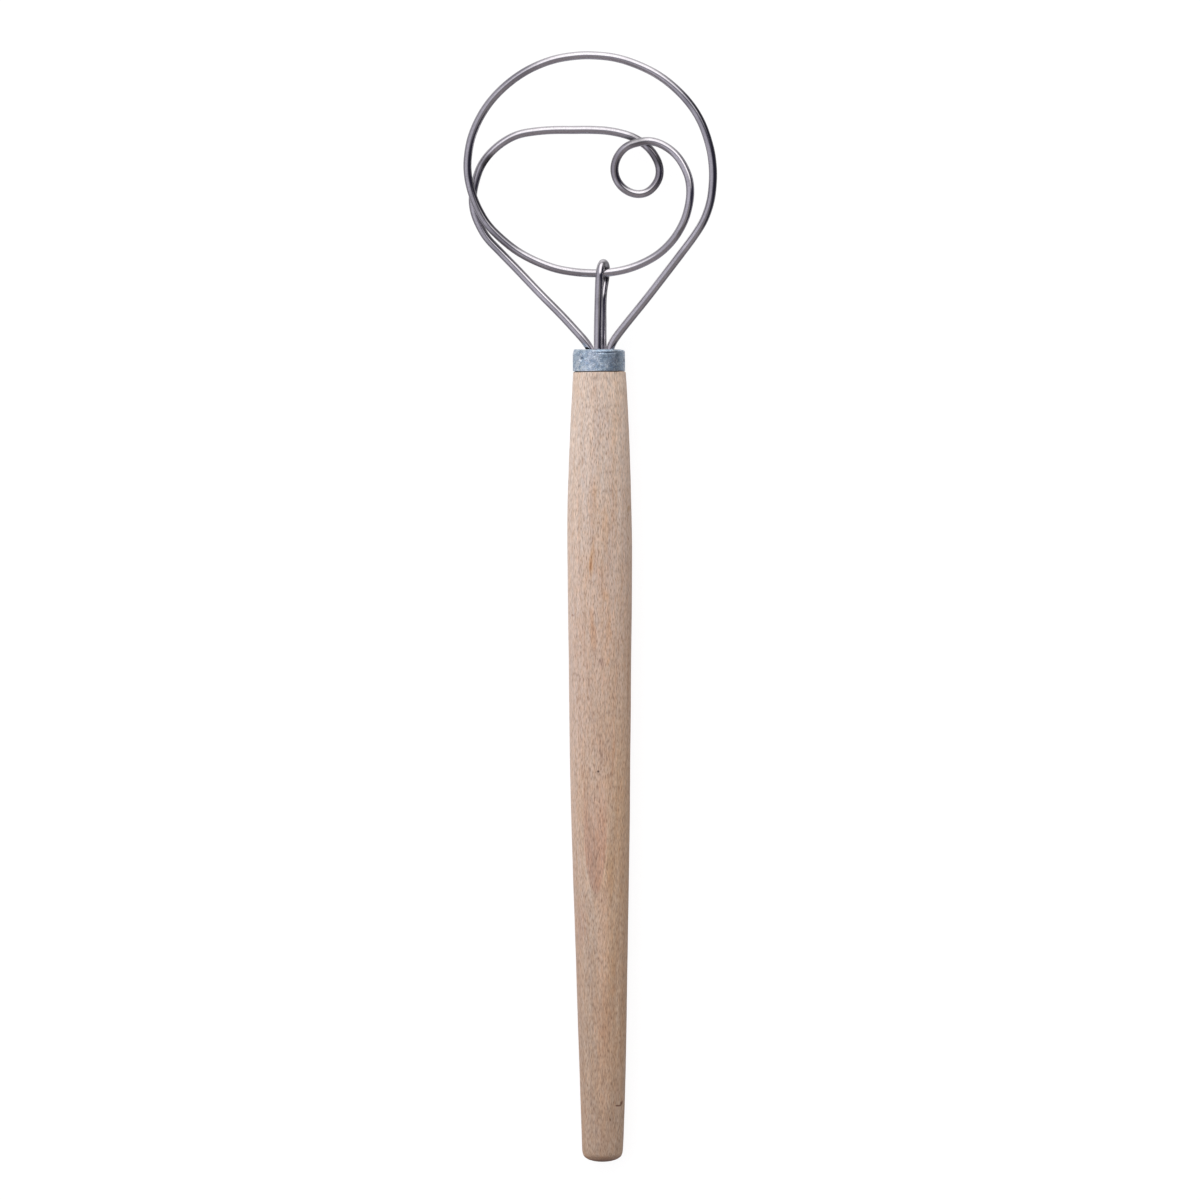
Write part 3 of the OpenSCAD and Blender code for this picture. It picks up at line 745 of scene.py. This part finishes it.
def handle_piece():
    # outside profile: (radius, distance below the ferrule's top)
    outer = [(9.07, 7.9), (9.12, 9), (9.26, 11), (9.42, 14), (9.57, 17.2), (9.78, 20.7), (9.92, 24), (10.08, 27.5), (10.2, 31), (10.36, 34.5), (10.47, 38),
             (10.58, 41.5), (10.71, 45), (10.8, 48), (10.89, 51.5), (10.97, 55), (11.04, 58.5), (11.08, 62), (11.1, 65.5), (11.1, 69), (11.08, 72), (11.05, 75.5),
             (11.02, 79), (11.0, 82.5), (10.96, 86), (10.9, 92.5), (10.81, 99.5), (10.7, 106.5), (10.65, 113), (10.58, 120), (10.5, 127), (10.42, 134),
             (10.35, 141), (10.27, 147.5), (10.16, 154.5), (10.03, 161.5), (9.87, 168), (9.7, 175), (9.55, 182), (9.37, 189), (9.19, 195.5), (9.03, 202.5),
             (8.85, 209), (8.69, 216), (8.53, 223), (8.38, 230), (8.2, 237), (8.02, 243.5), (7.82, 250.5), (7.61, 257.5), (7.5, 261), (7.39, 264), (7.27, 267.5),
             (7.21, 269.5), (7.15, 271), (7.07, 273)]
    top = [(0, -46), (4.2, -46), (5.58, -45.9), (5.6, -45.6), (5.6, -30), (5.6, -15), (5.6, -2.2), (5.7, -1.5), (7.2, -1.15), (7.8, -1.2), (8.15, -1.6), (8.2, -2.0)]
    top += [(8.2, -2.0 - 5.05 * i / 18) for i in range(1, 19)]
    # a narrow cut under the ferrule's edge, then the wood swells out
    prof = top + [(8.24, -7.12), (8.3, -7.2), (8.66, -7.26), (8.74, -7.34), (8.76, -7.41), (8.82, -7.44), (8.95, -7.46), (9.03, -7.52), (9.05, -7.62)]
    prof += [(r, -y) for r, y in spline_profile(outer, 1.0)]
    # butt: a broad crowned end with a small round on its rim
    end = 278.3
    butt = [(7.07, 5.3), (6.97, 3.9), (6.84, 3.1), (6.62, 2.42), (6.28, 1.87), (5.8, 1.44), (5.3, 1.1), (4.8, 0.83), (4.0, 0.54), (3.1, 0.31), (2.3, 0.16), (1.5, 0.07), (0.8, 0.02), (0, 0)]
    prof += [(r, h - end) for r, h in spline_profile(butt, 0.35)[1:-1]] + [(0, -end)]

    def bend(v):
        if v.y > -7.1:
            return dimple_push(v, 0.5) if v.y < -1.8 else v
        r = math.hypot(v.x, v.z)
        if r < 6 and v.y > -50:
            return v
        a = math.atan2(v.z, v.x)
        # turned and sanded by hand: a few hundredths of a millimetre out of true
        d = 0.05 * noise.noise(Vector((math.cos(a) * 0.7, v.y * 0.035, math.sin(a) * 0.7)))
        if v.y < -end + 6:
            d += 0.06 * noise.noise(Vector((math.cos(a) * 1.4, 9.1, math.sin(a) * 1.4)))
        k = 1 + d / max(r, 3)
        return Vector((v.x * k + stray(-v.y), v.y, v.z * k))
    return revolve("beech_handle", prof, 160, bend)


def adhesive_piece():
    legs = [(3.6, 0.6), (-2.2, -0.9), (-0.4, 1.5), (1.5, -1.5)]
    verts, faces = [], []
    rings, sides = 26, 96
    r0 = 5.56

    def height(x, z):
        d = min(math.hypot(x - a, z - b) for a, b in legs) - WIRE_R
        h = -6.2 + 0.4 * math.exp(-max(d, 0) / 0.45)
        h += 0.25 * math.exp(-(r0 - math.hypot(x, z)) / 0.4)
        return h + 0.08 * noise.noise(Vector((x * 0.9, 1.7, z * 0.9)))
    verts.append((0, height(0, 0), 0))
    for i in range(1, rings + 1):
        for k in range(sides):
            a = 2 * math.pi * k / sides
            x, z = r0 * i / rings * math.cos(a), r0 * i / rings * math.sin(a)
            verts.append((x, height(x, z), z))
    for k in range(sides):
        faces.append((0, 1 + k, 1 + (k + 1) % sides))
    for i in range(rings - 1):
        for k in range(sides):
            a, b = 1 + i * sides + k, 1 + i * sides + (k + 1) % sides
            faces.append((a, a + sides, b + sides, b))
    base = 1 + (rings - 1) * sides
    low = len(verts)
    floor_y = -46.25
    for k in range(sides):
        a = 2 * math.pi * k / sides
        verts.append((r0 * math.cos(a), floor_y, r0 * math.sin(a)))
    for k in range(sides):
        k2 = (k + 1) % sides
        faces.append((base + k, low + k, low + k2, base + k2))
    c = len(verts)
    verts.append((0, floor_y, 0))
    for k in range(sides):
        faces.append((low + k, c, low + (k + 1) % sides))
    return mesh_object("adhesive_fill", [place(v) for v in verts], faces)


wire_mat = wire_material()
whisk = sweep("whisk_strand", WHISK, 1.5, (0, 0, 1))
hook = sweep("hook_strand", HOOK, 0.7, (1, 0, 0))
for ob in (whisk, hook):
    ob.data.materials.append(wire_mat)
ferrule = ferrule_piece()
ferrule.data.materials.append(zinc_material())
handle = handle_piece()
handle.data.materials.append(beech_material())
glue = adhesive_piece()
glue.data.materials.append(adhesive_material())

for ob, node, slot in ((whisk, "whisk_wire", "wire_steel"), (hook, "hook_wire", "wire_steel"), (ferrule, "ferrule", "ferrule_steel"),
                       (handle, "handle", "beech"), (glue, "adhesive_plug", "adhesive")):
    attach(ob, "root")
    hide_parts(node)

# ---------------------------------------------------------------- stage, light, camera
scene = bpy.context.scene
scene.view_settings.view_transform = "Standard"
scene.view_settings.look = "None"
scene.view_settings.exposure = 0
scene.view_settings.gamma = 1

floor_me = bpy.data.meshes.new("floor")
s = 14.0
floor_me.from_pydata([(-s, -s, -0.0002), (s, -s, -0.0002), (s, s, -0.0002), (-s, s, -0.0002)], [], [(0, 1, 2, 3)])
floor = bpy.data.objects.new("floor", floor_me)
scene.collection.objects.link(floor)
fm, nt, b = new_material("pale_floor")
# a lit table: it glows evenly, so the object's shadow on it stays faint
b.inputs["Base Color"].default_value = (0.16, 0.16, 0.16, 1)
b.inputs["Emission Color"].default_value = (1, 1, 1, 1)
b.inputs["Emission Strength"].default_value = 0.88
b.inputs["Roughness"].default_value = 0.9
b.inputs["Specular IOR Level"].default_value = 0.0
floor_me.materials.append(fm)
floor.visible_glossy = False

world = bpy.data.worlds.new("studio")
scene.world = world
world.use_nodes = True
nt = world.node_tree
nt.nodes.clear()
wo = nt.nodes.new("ShaderNodeOutputWorld")
tc = nt.nodes.new("ShaderNodeTexCoord")
wx, wy, wz = separate(nt, tc.outputs["Generated"])[0:3]
# a pale wall on the left fades into a dark room on the right
room = mix(nt, smooth_step(nt, wx, 0.42, -0.36), DARK_SIDE, PALE_SIDE)
# a grey patch on the right, towards the butt
px = math_node(nt, "SUBTRACT", wx, 0.28)
py = math_node(nt, "ADD", wy, 0.51)
off = math_node(nt, "SQRT", math_node(nt, "ADD", math_node(nt, "MULTIPLY", px, px), math_node(nt, "MULTIPLY", py, py)))
patch = math_node(nt, "MULTIPLY", smooth_step(nt, off, 0.57, 0.27), smooth_step(nt, wz, 0.0, 0.1))
room = mix(nt, patch, room, GREY_PATCH)
# the near side, towards the butt
near = math_node(nt, "SUBTRACT", math_node(nt, "MULTIPLY", wy, -1.0), math_node(nt, "MULTIPLY", math_node(nt, "MAXIMUM", math_node(nt, "MULTIPLY", wx, -1.0), 0.0), 0.23))
room = mix(nt, smooth_step(nt, near, 0.45, 0.57), room, NEAR_SIDE)
# below the table's edge: lighter beyond the head, darker on the right
low = mix(nt, smooth_step(nt, wy, -0.12, 0.59), LOW_NEAR, LOW_FAR)
low = mix(nt, smooth_step(nt, wx, 0.11, 1.01), low, LOW_RIGHT)
room = mix(nt, smooth_step(nt, wz, 0.29, -0.5), room, low)
# a large softbox beyond the head
soft = math_node(nt, "MULTIPLY", smooth_step(nt, math_node(nt, "ADD", wy, math_node(nt, "MULTIPLY", wx, 0.04)), 0.17, 0.37), smooth_step(nt, wz, -0.73, 0.22))
soft = math_node(nt, "MULTIPLY", soft, smooth_step(nt, wx, -0.5, -0.15))
soft = math_node(nt, "MULTIPLY", soft, smooth_step(nt, wx, 0.80, 0.33))
room = mix(nt, soft, room, SOFTBOX)
# a dark band all round, between the table and the walls
band = math_node(nt, "ABSOLUTE", math_node(nt, "ADD", wz, 0.07))
band = math_node(nt, "MULTIPLY", smooth_step(nt, band, 0.4, 0.0), math_node(nt, "SUBTRACT", 0.63, math_node(nt, "MULTIPLY", soft, 0.3)))
room = mix(nt, band, room, HORIZON)
bg = nt.nodes.new("ShaderNodeBackground")
nt.links.new(room, bg.inputs["Color"])
plain = nt.nodes.new("ShaderNodeBackground")
plain.inputs["Color"].default_value = (1.0, 1.0, 1.0, 1)
lp = nt.nodes.new("ShaderNodeLightPath")
ms = nt.nodes.new("ShaderNodeMixShader")
nt.links.new(lp.outputs["Is Camera Ray"], ms.inputs[0])
nt.links.new(bg.outputs[0], ms.inputs[1])
nt.links.new(plain.outputs[0], ms.inputs[2])
nt.links.new(ms.outputs[0], wo.inputs[0])


def area(name, loc, target, size, power, color=(1, 1, 1)):
    ld = bpy.data.lights.new(name, "AREA")
    ld.shape = "RECTANGLE"
    ld.size, ld.size_y = size
    ld.energy = power
    ld.color = color
    ob = bpy.data.objects.new(name, ld)
    ob.location = loc
    ob.rotation_euler = (Vector(target) - Vector(loc)).to_track_quat("-Z", "Y").to_euler()
    scene.collection.objects.link(ob)
    ob.visible_glossy = False
    ob.visible_camera = False
    return ob


area("key_left", (-1.3, 0.7, 1.7), (0, 0, 0), (2.6, 2.6), KEY_W)
area("overhead", (0.1, 0.1, 2.4), (0, 0, 0), (3.0, 3.0), TOP_W)

cam_d = bpy.data.cameras.new("camera")
cam_d.lens = 600
cam_d.sensor_width = 36
cam_d.sensor_fit = "HORIZONTAL"
cam = bpy.data.objects.new("camera", cam_d)
width = 1200 * 0.343 / 1000
cam.location = ((SHIFT[0] - 0.09) / 1000, (SHIFT[1] - 85.9) / 1000, SHIFT[2] / 1000 + width / 36 * 600)
cam.rotation_euler = (0, 0, math.radians(-0.27))
cam_d.clip_start = 0.1
cam_d.clip_end = 100
scene.collection.objects.link(cam)
scene.camera = cam
